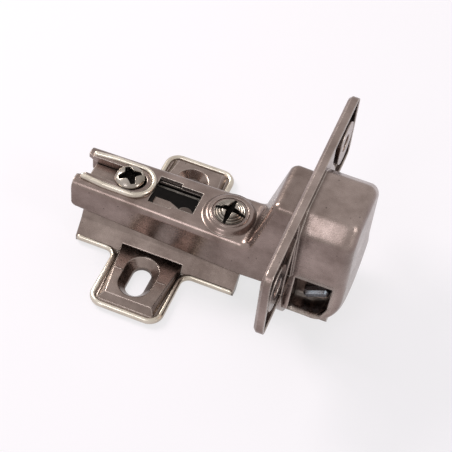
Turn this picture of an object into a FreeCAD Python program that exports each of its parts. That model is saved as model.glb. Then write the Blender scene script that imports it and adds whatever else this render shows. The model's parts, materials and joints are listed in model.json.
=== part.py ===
import FreeCAD, Part
import math
import os

import Sketcher

# Concealed cup hinge for a furniture door: a slide-on arm with a full crank on a
# two-hole wing plate, and a 35 mm cup with a screw-on flange. Millimetres.
# X runs along the arm towards the cup, Y is the pivot axis, Z points up from the
# cabinet side. The origin lies on the plate's underside, midway between its slots.

DIMENSIONS = {
    # sheet stock and general clearances
    "arm_sheet": 1.3,
    "plate_sheet": 1.5,
    "cup_wall": 1.0,
    "slide_gap": 0.2,
    "side_gap": 0.2,
    "seat_gap": 0.02,
    "run_gap": 0.05,
    # pivots of the two links, at rest with the door shut
    "outer_arm_x": 34.2,
    "outer_arm_z": 23.8,
    "inner_arm_x": 41.0,
    "inner_arm_z": 31.4,
    "outer_cup_x": 40.3,
    "outer_cup_z": 10.8,
    "inner_cup_x": 44.3,
    "inner_cup_z": 13.0,
    "pin_radius": 1.1,
    # arm
    "arm_rear": -22.3,
    "arm_top": 17.4,
    "arm_taper": 0.9,
    "arm_front_half": 7.8,
    "arm_taper_end": 20.0,
    "arm_edge_radius": 2.0,
    "arm_bend_radius": 2.2,
    "arm_skirt_rear": 9.4,
    "arm_skirt_front": 6.9,
    "arm_skirt_x": 22.0,
    "riser_foot_x": 23.1,
    "riser_head_x": 28.2,
    "hood_top": 35.0,
    "hood_front_x": 42.4,
    "hood_front_top": 34.3,
    "hood_sheet_end": 38.4,
    "hood_slot_half": 4.7,
    "crank_front": 34.0,
    "crank_corner_x": 30.0,
    "crank_corner_z": 7.2,
    "crank_nose_z": 9.4,
    "cheek_radius": 2.4,
    "nose_radius": 2.6,
    "slot_half": 2.75,
    "slot_lip": 1.3,
    "slot_mouth": 1.3,
    "slot_mouth_long": 2.6,
    "slot_lip_high": 0.6,
    "slide_back": 1.5,
    "window_rear": -3.3,
    "window_step": 2.4,
    "window_front": 8.1,
    "window_rear_half": 4.3,
    "window_front_half": 3.55,
    "collar_radius": 5.4,
    "collar_high": 1.1,
    # screws of the arm
    "fix_x": -9.8,
    "fix_head_radius": 3.7,
    "fix_head_high": 1.9,
    "fix_shank_radius": 2.5,
    "fix_shank_long": 8.4,
    "side_x": 16.3,
    "side_radius": 3.4,
    "side_neck_radius": 1.7,
    "side_foot_radius": 2.8,
    "side_foot_high": 1.0,
    "recess_half_width": 0.45,
    "recess_half_long": 1.9,
    "recess_deep": 1.1,
    # mounting plate
    "plate_rear": -19.8,
    "plate_front": 22.3,
    "rail_gap": 0.4,
    "shoulder_step": 1.0,
    "plate_shoulder_z": 5.0,
    "plate_waist_z": 6.8,
    "foot_spread": 3.4,
    "plate_foot_high": 1.4,
    "plate_boss_high": 2.5,
    "rail_window_rear": -4.2,
    "rail_tab_rear": -2.6,
    "rail_tab_front": 3.9,
    "rail_tab_y": -0.95,
    "rail_window_front": 9.0,
    "tongue_x": 5.7,
    "tongue_y": -2.6,
    "tongue_radius": 2.0,
    "wing_rear": -8.9,
    "wing_front": 9.1,
    "wing_reach": 10.0,
    "wing_corner": 3.2,
    "wing_root_radius": 2.6,
    "wing_rim": 1.2,
    "pad_top": 3.0,
    "pad_rear_root": -8.1,
    "pad_front_root": 8.5,
    "pad_rear_tip": -5.6,
    "pad_front_tip": 6.4,
    "pad_reach": 7.2,
    "slot_land": 1.1,
    "hollow_rim": 0.6,
    "wing_hollow": 1.5,
    "mount_spacing": 32.0,
    "mount_radius": 2.35,
    "mount_slot": 9.0,
    "dish_half": 4.3,
    "dish_reach": 1.9,
    "dish_floor": 1.0,
    # cup and flange
    "web_front": 33.7,
    "door_plane": 36.1,
    "cup_axis_z": 19.1,
    "cup_radius": 17.5,
    "cup_bottom": 48.8,
    "cup_flat_half": 6.5,
    "cup_flat_z": 36.5,
    "cup_side_half": 11.0,
    "cup_chamfer_z": 32.6,
    "cup_crease_z": 18.5,
    "cup_flare_half": 14.2,
    "cup_bottom_edge": 2.6,
    "cup_round_edge": 6.0,
    "cup_crease_radius": 1.6,
    "flange_half": 31.2,
    "flange_low": 18.1,
    "flange_high": 39.1,
    "flange_corner": 3.0,
    "ear_root_half": 12.4,
    "door_screw_pitch": 48.0,
    "door_screw_z": 28.6,
    "door_screw_radius": 2.4,
    "door_dish_radius": 4.8,
    "door_screw_land": 0.8,
    "collar_front": 34.9,
    "collar_rim_radius": 18.3,
    "mouth_notch_half": 8.7,
    "lug_front": 3.3,
    "lug_back": 1.9,
    "lug_low": 3.0,
    "lug_high": 7.0,
    # links
    "link_sheet": 1.1,
    "outer_knee_x": 42.1,
    "outer_knee_z": 20.4,
    "outer_half": 1.7,
    "outer_web_x": 35.7,
    "inner_half_width": 3.0,
    "inner_half": 1.9,
    "inner_eye": 2.5,
    "inner_foot_eye": 2.35,
    "inner_slot_x": 3.2,
    "inner_slot_z": -2.1,
    "inner_slot_play": 0.3,
    "pin_bridge": 2.1,
    # closing spring
    "spring_sheet": 0.7,
    "spring_half": 2.6,
    "spring_long": 6.4,
    "spring_setback": 4.4,
    "spring_reach": 1.1,
    "spring_tip_z": 29.2,
}

document = FreeCAD.newDocument("CupHinge")
sheet = document.addObject("Spreadsheet::Sheet", "Sizes")
for row, (alias, number) in enumerate(DIMENSIONS.items(), start=1):
    sheet.set("A%d" % row, alias)
    sheet.set("B%d" % row, str(number))
    sheet.setAlias("B%d" % row, alias)
document.recompute()


def size(expression):
    """Returns the number that an expression of sheet names gives."""
    probe = document.getObject("Probe") or document.addObject("App::FeaturePython", "Probe")
    if "value" not in probe.PropertiesList:
        probe.addProperty("App::PropertyFloat", "value")
    probe.setExpression("value", bound(expression))
    probe.recompute()
    return float(probe.value)


def bound(expression):
    """Turns bare names in an expression into references to the sheet's cells."""
    text = str(expression)
    words = []
    word = ""
    for letter in text + " ":
        if letter.isalnum() or letter in "_.":
            word += letter
            continue
        if word in DERIVED:
            word = bound(DERIVED[word])
        words.append("Sizes." + word if word in DIMENSIONS else word)
        words.append(letter)
        word = ""
    return "".join(words).strip()


DERIVED = {
    "wing_half": "(mount_spacing / 2 + wing_reach)",
    "pad_tip_half": "(mount_spacing / 2 + pad_reach)",
    "hollow_root_half": "(mount_spacing / 2 - mount_slot / 2 - slot_land - hollow_rim)",
    "arm_rear_half": "(arm_front_half - arm_taper)",
    "plate_half": "(arm_front_half - arm_taper - arm_sheet - rail_gap)",
    "plate_shoulder_half": "(arm_front_half - arm_taper - arm_sheet - rail_gap + shoulder_step)",
    "plate_foot_half": "(arm_front_half - arm_taper - arm_sheet - rail_gap + shoulder_step + foot_spread)",
    "dent_front": "(outer_cup_x - lug_front)",
    "dent_back": "(inner_cup_x + lug_back)",
    "dent_low": "(outer_cup_z - lug_low)",
    "dent_high": "(outer_cup_z + lug_high)",
    "dent_floor_half": "(arm_front_half - arm_sheet + side_gap / 2 + cup_wall)",
    "spring_bend": "(inner_arm_x - spring_setback)",
    "spring_rear": "(inner_arm_x - spring_setback - spring_long)",
    "spring_tip_x": "(inner_arm_x - spring_setback + spring_reach)",
}
PIECES = []


def new_body(label, kept=True):
    """A body of its own for one piece, or for a shape that is cut from a piece."""
    body = document.addObject("PartDesign::Body", label)
    body.Label = label
    if kept:
        PIECES.append(body)
    return body


def base_plane(body, role):
    for feature in body.Origin.OriginFeatures:
        if feature.Role == role:
            return feature
    raise RuntimeError("no plane " + role)


def new_sketch(body, name, role, offset="0"):
    """A sketch on one of the body's base planes, moved along its normal."""
    sketch = body.newObject("Sketcher::SketchObject", name)
    sketch.AttachmentSupport = (base_plane(body, role), [""])
    sketch.MapMode = "FlatFace"
    if str(offset) != "0":
        sketch.setExpression(".AttachmentOffset.Base.z", bound(offset))
    return sketch


def pin_point(sketch, geometry, position, across, upward):
    """Ties a point of a sketch to two expressions measured from the origin."""
    for kind, axis, expression in (("DistanceX", -2, across), ("DistanceY", -1, upward)):
        if expression is None:
            continue
        number = size(expression)
        if abs(number) < 1e-9:
            sketch.addConstraint(Sketcher.Constraint("PointOnObject", geometry, position, axis))
            continue
        index = sketch.addConstraint(
            Sketcher.Constraint(kind, -1, 1, geometry, position, number)
        )
        sketch.setExpression("Constraints[%d]" % index, bound(expression))


def polygon(sketch, corners):
    """Adds a closed outline with straight sides to a sketch."""
    points = [FreeCAD.Vector(size(u), size(v), 0) for u, v in corners]
    first = None
    count = len(points)
    for index in range(count):
        line = Part.LineSegment(points[index], points[(index + 1) % count])
        number = sketch.addGeometry(line, False)
        first = number if first is None else first
    for index in range(count):
        here = first + index
        after = first + (index + 1) % count
        sketch.addConstraint(Sketcher.Constraint("Coincident", here, 2, after, 1))
    for index, (u, v) in enumerate(corners):
        pin_point(sketch, first + index, 1, u, v)
    return first


def capsule(sketch, start, end, radius):
    """Adds a slot outline with round ends centred on two points."""
    a = FreeCAD.Vector(size(start[0]), size(start[1]), 0)
    b = FreeCAD.Vector(size(end[0]), size(end[1]), 0)
    r = size(radius)
    along = math.atan2(b.y - a.y, b.x - a.x)
    up = FreeCAD.Vector(0, 0, 1)
    cap_a = Part.ArcOfCircle(Part.Circle(a, up, r), along + math.pi / 2, along + 1.5 * math.pi)
    cap_b = Part.ArcOfCircle(Part.Circle(b, up, r), along - math.pi / 2, along + math.pi / 2)
    side = FreeCAD.Vector(-math.sin(along), math.cos(along), 0) * r
    g0 = sketch.addGeometry(cap_a, False)
    g1 = sketch.addGeometry(Part.LineSegment(a - side, b - side), False)
    g2 = sketch.addGeometry(cap_b, False)
    g3 = sketch.addGeometry(Part.LineSegment(b + side, a + side), False)
    for one, one_end, two, two_end in ((g0, 2, g1, 1), (g1, 2, g2, 1), (g2, 2, g3, 1), (g3, 2, g0, 1)):
        sketch.addConstraint(Sketcher.Constraint("Tangent", one, one_end, two, two_end))
    sketch.addConstraint(Sketcher.Constraint("Equal", g0, g2))
    index = sketch.addConstraint(Sketcher.Constraint("Radius", g0, r))
    sketch.setExpression("Constraints[%d]" % index, bound(radius))
    pin_point(sketch, g0, 3, *start)
    pin_point(sketch, g2, 3, *end)


def disc(sketch, centre, radius):
    """Adds a full circle to a sketch."""
    c = FreeCAD.Vector(size(centre[0]), size(centre[1]), 0)
    g = sketch.addGeometry(Part.Circle(c, FreeCAD.Vector(0, 0, 1), size(radius)), False)
    index = sketch.addConstraint(Sketcher.Constraint("Radius", g, size(radius)))
    sketch.setExpression("Constraints[%d]" % index, bound(radius))
    pin_point(sketch, g, 3, *centre)


def volume(body):
    return body.Shape.Volume if body.Shape and not body.Shape.isNull() else 0.0


def extrude(body, name, sketch, length, cut=False, both=False, reverse=False):
    """Pads or pockets a sketch and makes sure that the solid really changed."""
    document.recompute()
    before = volume(body)
    feature = body.newObject("PartDesign::Pocket" if cut else "PartDesign::Pad", name)
    feature.Profile = sketch
    feature.setExpression("Length", bound(length))
    feature.Reversed = reverse
    if both:
        feature.SideType = "Symmetric"
    sketch.Visibility = False
    document.recompute()
    after = volume(body)
    if feature.State and "Invalid" in feature.State:
        raise RuntimeError("%s failed" % name)
    if cut and not after < before - 1e-6:
        raise RuntimeError("%s cuts nothing" % name)
    if not cut and not after > before + 1e-6:
        raise RuntimeError("%s adds nothing" % name)
    return feature


def eased(body, name, kind, prop, amount, wanted):
    """Fillets or chamfers the edges of the body that a test picks."""
    document.recompute()
    tip = body.Tip
    picks = []
    for number, edge in enumerate(tip.Shape.Edges, start=1):
        ends = [vertex.Point for vertex in edge.Vertexes]
        if ends and wanted(edge, ends[0], ends[-1]):
            picks.append("Edge%d" % number)
    if not picks:
        raise RuntimeError("%s finds no edge" % name)
    feature = body.newObject(kind, name)
    feature.Base = (tip, picks)
    feature.setExpression(prop, bound(amount))
    document.recompute()
    if "Invalid" in feature.State:
        raise RuntimeError("%s failed" % name)
    return feature


def rounded(body, name, radius, wanted):
    return eased(body, name, "PartDesign::Fillet", "Radius", radius, wanted)


def chamfered(body, name, width, wanted):
    return eased(body, name, "PartDesign::Chamfer", "Size", width, wanted)


def spun(body, name, role, corners, axis, cut=False):
    """Revolves a closed outline about an axis of its own sketch."""
    sketch = new_sketch(body, name + "Outline", role)
    polygon(sketch, corners)
    document.recompute()
    before = volume(body)
    feature = body.newObject("PartDesign::Groove" if cut else "PartDesign::Revolution", name)
    feature.Profile = sketch
    feature.ReferenceAxis = (sketch, [axis])
    feature.Angle = 360
    sketch.Visibility = False
    document.recompute()
    after = volume(body)
    if abs(after - before) < 1e-6:
        raise RuntimeError("%s changes nothing" % name)
    return feature


def near(value, target, reach=0.02):
    return abs(value - target) < reach


def lies_along(first, second, axis, reach=0.02):
    """True where an edge runs parallel to one axis."""
    others = [name for name in "xyz" if name != axis]
    return all(near(getattr(first, name), getattr(second, name), reach) for name in others)


# Arm: one stamped channel. Its side view is padded over the full width, tapered in
# plan towards the rear, rounded along the top and hollowed from below.
arm = new_body("hinge_arm")
side_view = new_sketch(arm, "ArmSide", "XZ_Plane")
polygon(side_view, [
    ("arm_rear", "arm_skirt_rear"),
    ("arm_skirt_x", "arm_skirt_front"),
    ("crank_corner_x", "crank_corner_z"),
    ("crank_front", "crank_nose_z"),
    ("crank_front", "outer_arm_z - cheek_radius - 0.3"),
    ("outer_arm_x + 1.6", "outer_arm_z - cheek_radius - 0.1"),
    ("inner_arm_x + nose_radius", "inner_arm_z - 1.8"),
    ("inner_arm_x + nose_radius", "hood_front_top - 1.4"),
    ("hood_front_x", "hood_front_top"),
    ("riser_head_x", "hood_top"),
    ("riser_foot_x", "arm_top"),
    ("arm_rear", "arm_top"),
])
extrude(arm, "ArmBlank", side_view, "2 * arm_front_half", both=True)
plan = new_sketch(arm, "ArmPlan", "XY_Plane")
for sign in ("1", "-1"):
    polygon(plan, [
        ("arm_rear", sign + " * arm_rear_half"),
        ("arm_taper_end", sign + " * arm_front_half"),
        ("arm_taper_end", sign + " * (arm_front_half + 2)"),
        ("arm_rear", sign + " * (arm_front_half + 2)"),
    ])
extrude(arm, "ArmTaper", plan, "arm_top + 1", cut=True, reverse=True)
foot = size("riser_foot_x")
head = size("riser_head_x")
rounded(arm, "ArmBends", "arm_bend_radius", lambda edge, a, b: lies_along(a, b, "y") and (
    (near(a.x, foot) and near(a.z, size("arm_top"))) or (near(a.x, head) and near(a.z, size("hood_top")))
))


def top_chain(edge, a, b):
    """Outer upper edges of the channel from its rear end to the hood's front."""
    if lies_along(a, b, "y"):
        return False
    middle = edge.valueAt((edge.FirstParameter + edge.LastParameter) / 2)
    if abs(middle.y) < size("arm_rear_half") - 0.1:
        return False
    if middle.x < foot + 0.5:
        return near(a.z, size("arm_top"), 1.0) and near(b.z, size("arm_top"), 1.0) and abs(a.x - b.x) > 0.1
    if middle.x > size("hood_front_x") or middle.z < size("arm_top"):
        return False
    rise = (size("hood_top") - size("arm_top")) / (head - foot)
    on_riser = near(middle.z - size("arm_top"), rise * (middle.x - foot), 1.6) and middle.x < head + 0.6
    drop = (size("hood_front_top") - size("hood_top")) / (size("hood_front_x") - head)
    on_hood = near(middle.z - size("hood_top"), drop * (middle.x - head), 0.4)
    return on_riser or on_hood


rounded(arm, "ArmEdges", "arm_edge_radius", top_chain)
hollow_plan = new_sketch(arm, "ArmHollowPlan", "XY_Plane", "arm_top - arm_sheet")
polygon(hollow_plan, [
    ("arm_rear - 1", "-(arm_rear_half - arm_sheet)"),
    ("arm_taper_end", "-(arm_front_half - arm_sheet)"),
    ("arm_taper_end", "arm_front_half - arm_sheet"),
    ("arm_rear - 1", "arm_rear_half - arm_sheet"),
])
extrude(arm, "ArmHollow", hollow_plan, "arm_top", cut=True)
slant = "(riser_head_x - riser_foot_x) / (hood_top - arm_top)"
hollow_side = new_sketch(arm, "CrankHollow", "XZ_Plane")
polygon(hollow_side, [
    ("arm_taper_end - 0.5", "arm_skirt_front - 3"),
    ("inner_arm_x + 6", "arm_skirt_front - 3"),
    ("inner_arm_x + 6", "hood_front_top - arm_sheet - 0.2"),
    ("hood_front_x", "hood_front_top - arm_sheet"),
    ("riser_head_x + arm_sheet - 0.1", "hood_top - arm_sheet"),
    ("riser_foot_x + arm_sheet - 0.3", "arm_top - arm_sheet"),
    ("arm_taper_end - 0.5", "arm_top - arm_sheet"),
])
extrude(arm, "CrankPocket", hollow_side, "2 * (arm_front_half - arm_sheet)", cut=True, both=True)
hood_slot = new_sketch(arm, "HoodSlot", "XY_Plane", "hood_top + 1")
polygon(hood_slot, [
    ("hood_sheet_end", "-hood_slot_half"),
    ("inner_arm_x + 6", "-hood_slot_half"),
    ("inner_arm_x + 6", "hood_slot_half"),
    ("hood_sheet_end", "hood_slot_half"),
])
extrude(arm, "HoodMouth", hood_slot, "arm_sheet + 3", cut=True)
rounded(arm, "NoseRounds", "nose_radius - 0.5", lambda edge, a, b: lies_along(a, b, "y") and (
    near(a.x, size("inner_arm_x + nose_radius")) and near(a.z, size("inner_arm_z - 1.8"))
))
rounded(arm, "CrankRounds", "arm_sheet", lambda edge, a, b: lies_along(a, b, "y") and (
    (near(a.x, size("crank_front")) and near(a.z, size("crank_nose_z")))
    or (near(a.x, size("arm_rear")) and near(a.z, size("arm_skirt_rear")))
))
# The rear slot with its raised lip, open at the end of the arm.
lip = new_sketch(arm, "SlotLip", "XY_Plane", "arm_top - 0.3")
capsule(lip, ("arm_rear + slot_half + slot_lip", "0"), ("fix_x + slide_back", "0"), "slot_half + slot_lip")
extrude(arm, "SlotLipPad", lip, "slot_lip_high + 0.3")
chamfered(arm, "SlotLipEdge", "slot_lip_high * 0.6", lambda edge, a, b: (
    near(a.z, size("arm_top + slot_lip_high")) and near(b.z, size("arm_top + slot_lip_high"))
))
slot = new_sketch(arm, "RearSlot", "XY_Plane", "arm_top + slot_lip_high + 1")
capsule(slot, ("arm_rear - 6", "0"), ("fix_x + slide_back", "0"), "slot_half")
extrude(arm, "RearSlotCut", slot, "arm_sheet + slot_lip_high + 2", cut=True)
mouth = new_sketch(arm, "SlotMouth", "XY_Plane", "arm_top + slot_lip_high + 1")
polygon(mouth, [
    ("arm_rear - 1", "-(slot_half + slot_mouth)"),
    ("arm_rear + slot_mouth_long", "-(slot_half - 0.1)"),
    ("arm_rear + slot_mouth_long", "slot_half - 0.1"),
    ("arm_rear - 1", "slot_half + slot_mouth"),
])
extrude(arm, "SlotMouthCut", mouth, "arm_sheet + slot_lip_high + 2", cut=True)
window = new_sketch(arm, "Window", "XY_Plane", "arm_top + 1")
polygon(window, [
    ("window_rear", "-window_rear_half"),
    ("window_step", "-window_rear_half"),
    ("window_step", "-window_front_half"),
    ("window_front", "-window_front_half"),
    ("window_front", "window_front_half"),
    ("window_step", "window_front_half"),
    ("window_step", "window_rear_half"),
    ("window_rear", "window_rear_half"),
])
extrude(arm, "WindowCut", window, "arm_sheet + 2", cut=True)
# The extruded collar that carries the side adjusting screw.
collar = new_sketch(arm, "Collar", "XY_Plane", "arm_top - 0.3")
disc(collar, ("side_x", "0"), "collar_radius")
extrude(arm, "CollarPad", collar, "collar_high + 0.3")
chamfered(arm, "CollarEdge", "collar_high * 0.6", lambda edge, a, b: (
    a == b and near(a.z, size("arm_top + collar_high"))
))
bore = new_sketch(arm, "SideBore", "XY_Plane", "arm_top + collar_high + 1")
disc(bore, ("side_x", "0"), "side_radius + run_gap")
extrude(arm, "SideBoreCut", bore, "arm_sheet + collar_high + 2", cut=True)
pivots = new_sketch(arm, "ArmPivots", "XZ_Plane")
disc(pivots, ("outer_arm_x", "outer_arm_z"), "pin_radius + seat_gap")
disc(pivots, ("inner_arm_x", "inner_arm_z"), "pin_radius + seat_gap")
extrude(arm, "ArmPivotBores", pivots, "2 * arm_front_half + 2", cut=True, both=True)

# Mounting plate: a hat-section rail with two raised wings.
plate = new_body("mounting_plate")
hat = new_sketch(plate, "PlateSection", "YZ_Plane", "plate_rear")
right = [
    ("plate_foot_half - plate_sheet * 1.5", "0"),
    ("plate_foot_half", "0"),
    ("plate_foot_half", "plate_foot_high"),
    ("plate_shoulder_half", "plate_shoulder_z"),
    ("plate_half", "plate_waist_z"),
    ("plate_half", "arm_top - arm_sheet - slide_gap"),
]
left = [("-(%s)" % u, v) for u, v in reversed(right)]
inner = [
    ("-(plate_shoulder_half - plate_sheet)", "plate_shoulder_z - 0.9"),
    ("-(plate_half - plate_sheet)", "plate_waist_z - 0.6"),
    ("-(plate_half - plate_sheet)", "arm_top - arm_sheet - slide_gap - plate_sheet"),
]
inner += [(u[1:], v) for u, v in reversed(inner)]
polygon(hat, right + left + inner)
extrude(plate, "PlateRail", hat, "plate_front - plate_rear")
rounded(plate, "RailEdges", "plate_sheet", lambda edge, a, b: lies_along(a, b, "x") and (
    near(a.z, size("arm_top - arm_sheet - slide_gap"))
))
for side, sign in (("Near", "-1"), ("Far", "1")):
    rim = new_sketch(plate, side + "WingRim", "XY_Plane")
    polygon(rim, [
        ("wing_rear", sign + " * (plate_shoulder_half + 1)"),
        ("wing_front", sign + " * (plate_shoulder_half + 1)"),
        ("wing_front", sign + " * wing_half"),
        ("wing_rear", sign + " * wing_half"),
    ])
    extrude(plate, side + "Wing", rim, "wing_rim")
    rounded(plate, side + "WingCorners", "wing_corner", lambda edge, a, b: lies_along(a, b, "z") and (
        near(a.y, size(sign + " * wing_half"))
    ))
    rounded(plate, side + "WingRoots", "wing_root_radius", lambda edge, a, b: lies_along(a, b, "z") and (
        near(a.y, size(sign + " * plate_foot_half")) and near(abs(a.z - b.z), size("wing_rim"))
        and (near(a.x, size("wing_rear")) or near(a.x, size("wing_front")))
    ))
    low = new_sketch(plate, side + "PadFoot", "XY_Plane", "wing_rim")
    polygon(low, [
        ("wing_rear + 0.4", sign + " * plate_shoulder_half"),
        ("wing_front - 0.4", sign + " * plate_shoulder_half"),
        ("wing_front - 1.6", sign + " * (wing_half - 1.4)"),
        ("wing_rear + 1.6", sign + " * (wing_half - 1.4)"),
    ])
    high = new_sketch(plate, side + "PadTop", "XY_Plane", "pad_top")
    polygon(high, [
        ("pad_rear_root", sign + " * plate_shoulder_half"),
        ("pad_front_root", sign + " * plate_shoulder_half"),
        ("pad_front_tip", sign + " * pad_tip_half"),
        ("pad_rear_tip", sign + " * pad_tip_half"),
    ])
    document.recompute()
    raised = plate.newObject("PartDesign::AdditiveLoft", side + "Pad")
    raised.Profile = low
    raised.Sections = [high]
    raised.Ruled = True
    document.recompute()
    centre = "(" + sign + " * mount_spacing / 2)"
    reach = "(mount_slot / 2 - mount_radius)"
    under = new_sketch(plate, side + "WingUnder", "XY_Plane")
    polygon(under, [
        ("wing_rear + 2", sign + " * hollow_root_half"),
        ("wing_front - 2", sign + " * hollow_root_half"),
        ("pad_front_tip - 0.6", sign + " * (pad_tip_half - 0.2)"),
        ("pad_rear_tip + 0.6", sign + " * (pad_tip_half - 0.2)"),
    ])
    capsule(under, ("0", centre + " - " + reach), ("0", centre + " + " + reach), "mount_radius + slot_land")
    extrude(plate, side + "WingHollow", under, "wing_hollow", cut=True, reverse=True)
    bottom = new_sketch(plate, side + "DishFloor", "XY_Plane", "dish_floor")
    capsule(bottom, ("0", centre + " - " + reach), ("0", centre + " + " + reach), "mount_radius")
    top = new_sketch(plate, side + "DishTop", "XY_Plane", "pad_top")
    capsule(top, ("0", centre + " - dish_reach"), ("0", centre + " + dish_reach"), "dish_half")
    document.recompute()
    before = volume(plate)
    dish = plate.newObject("PartDesign::SubtractiveLoft", side + "Dish")
    dish.Profile = bottom
    dish.Sections = [top]
    document.recompute()
    if not volume(plate) < before:
        raise RuntimeError("dish cuts nothing")
    through = new_sketch(plate, side + "Slot", "XY_Plane")
    capsule(through, ("0", centre + " - " + reach), ("0", centre + " + " + reach), "mount_radius")
    extrude(plate, side + "SlotCut", through, "pad_top", cut=True, reverse=True)
boss = new_sketch(plate, "ThreadBoss", "XY_Plane", "arm_top - arm_sheet - slide_gap - 0.5")
disc(boss, ("fix_x", "0"), "plate_half - plate_sheet + 0.1")
extrude(plate, "ThreadBossPad", boss, "plate_sheet + plate_boss_high - 0.5", reverse=True)
openings = new_sketch(plate, "RailHoles", "XY_Plane", "arm_top")
disc(openings, ("fix_x", "0"), "fix_shank_radius + run_gap")
capsule(openings, ("side_x - slide_back", "0"), ("plate_front + 6", "0"), "side_neck_radius + side_gap")
extrude(plate, "RailHolesCut", openings, "arm_sheet + plate_sheet + plate_boss_high + 1", cut=True)
# The rail is open under the arm's window, but for a near tab and a rounded tongue.
rail_window = new_sketch(plate, "RailWindow", "XY_Plane", "arm_top - arm_sheet - slide_gap + 1")
polygon(rail_window, [
    ("rail_window_rear", "-(plate_half - plate_sheet)"),
    ("rail_tab_rear", "-(plate_half - plate_sheet)"),
    ("rail_tab_rear", "rail_tab_y"),
    ("rail_tab_front - 2.7", "rail_tab_y"),
    ("rail_tab_front", "rail_tab_y - 1.2"),
    ("rail_tab_front", "-(plate_half - plate_sheet)"),
    ("rail_window_front", "-(plate_half - plate_sheet)"),
    ("rail_window_front", "plate_half - plate_sheet + 0.4"),
    ("rail_window_rear", "plate_half - plate_sheet + 0.4"),
])
extrude(plate, "RailWindowCut", rail_window, "plate_sheet + 1.2", cut=True)
tongue = new_sketch(plate, "RailTongue", "XY_Plane", "arm_top - arm_sheet - slide_gap - plate_sheet")
disc(tongue, ("tongue_x", "tongue_y"), "tongue_radius")
extrude(plate, "RailTonguePad", tongue, "plate_sheet * 0.6")

# Fixing screw: domed head with a cross recess, threaded shank in the plate's boss.
fixing = new_body("fixing_screw")
seat = "(arm_top + slot_lip_high + seat_gap)"
spun(fixing, "FixingTurned", "XZ_Plane", [
    ("0", seat + " - fix_shank_long"),
    ("fix_shank_radius", seat + " - fix_shank_long"),
    ("fix_shank_radius", seat),
    ("fix_head_radius", seat),
    ("fix_head_radius", seat + " + fix_head_high * 0.5"),
    ("fix_head_radius * 0.86", seat + " + fix_head_high * 0.82"),
    ("fix_head_radius * 0.55", seat + " + fix_head_high"),
    ("0", seat + " + fix_head_high"),
], "V_Axis")
cross = new_sketch(fixing, "FixingCross", "XY_Plane", seat + " + fix_head_high")
polygon(cross, [
    ("-recess_half_long", "-recess_half_width"),
    ("-recess_half_width", "-recess_half_width"),
    ("-recess_half_width", "-recess_half_long"),
    ("recess_half_width", "-recess_half_long"),
    ("recess_half_width", "-recess_half_width"),
    ("recess_half_long", "-recess_half_width"),
    ("recess_half_long", "recess_half_width"),
    ("recess_half_width", "recess_half_width"),
    ("recess_half_width", "recess_half_long"),
    ("-recess_half_width", "recess_half_long"),
    ("-recess_half_width", "recess_half_width"),
    ("-recess_half_long", "recess_half_width"),
])
extrude(fixing, "FixingRecess", cross, "recess_deep", cut=True)
fixing.setExpression(".Placement.Base.x", bound("fix_x"))

# Side screw: a headless screw in the collar whose neck runs in the plate's front slot.
side_screw = new_body("side_screw")
rail_top = "(arm_top - arm_sheet - slide_gap)"
rail_under = "(arm_top - arm_sheet - slide_gap - plate_sheet - side_gap)"
spun(side_screw, "SideTurned", "XZ_Plane", [
    ("0", rail_under + " - side_foot_high"),
    ("side_foot_radius", rail_under + " - side_foot_high"),
    ("side_foot_radius", rail_under),
    ("side_neck_radius", rail_under),
    ("side_neck_radius", rail_top + " + side_gap"),
    ("side_radius", rail_top + " + side_gap"),
    ("side_radius", "arm_top + collar_high - 0.9"),
    ("side_radius - 0.4", "arm_top + collar_high - 0.5"),
    ("0", "arm_top + collar_high - 0.5"),
], "V_Axis")
cross = new_sketch(side_screw, "SideCross", "XY_Plane", "arm_top + collar_high - 0.5")
polygon(cross, [
    ("-recess_half_long", "-recess_half_width"),
    ("-recess_half_width", "-recess_half_width"),
    ("-recess_half_width", "-recess_half_long"),
    ("recess_half_width", "-recess_half_long"),
    ("recess_half_width", "-recess_half_width"),
    ("recess_half_long", "-recess_half_width"),
    ("recess_half_long", "recess_half_width"),
    ("recess_half_width", "recess_half_width"),
    ("recess_half_width", "recess_half_long"),
    ("-recess_half_width", "recess_half_long"),
    ("-recess_half_width", "recess_half_width"),
    ("-recess_half_long", "recess_half_width"),
])
extrude(side_screw, "SideRecess", cross, "recess_deep", cut=True)
side_screw.setExpression(".Placement.Base.x", bound("side_x"))

# Cup: a drawn 35 mm cup with a flattened upper half, pressed-in side lugs and a flange.
cup = new_body("hinge_cup")


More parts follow.
